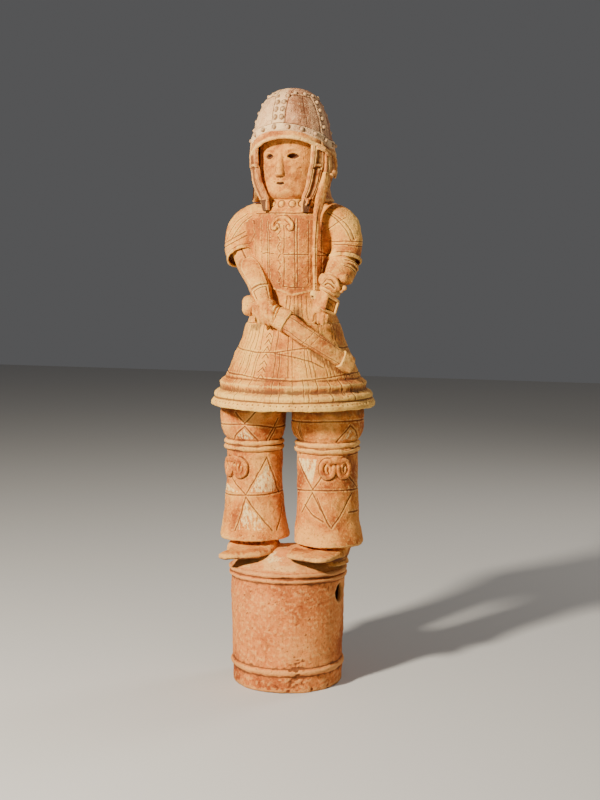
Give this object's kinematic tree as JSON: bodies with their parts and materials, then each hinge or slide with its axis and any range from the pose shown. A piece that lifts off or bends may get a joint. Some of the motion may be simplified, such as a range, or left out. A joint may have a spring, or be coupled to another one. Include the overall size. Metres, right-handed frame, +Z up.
{
  "type": "haniwa figure",
  "caption": "Fired-clay haniwa warrior in lamellar armour and studded helmet, holding sword and bow, on an open hollow cylinder base with round side holes.",
  "frame": {"origin": "under the middle of the figure's extent, level with the underside of its base", "axes": "+Z up, the figure faces -Y and its left hand is towards +X"},
  "size_m": [0.368, 0.344, 1.307],
  "materials": {
    "fired_clay": "matte"
  },
  "bodies": {
    "root": {"haniwa_figure": "fired_clay"}
  },
  "joints": []
}
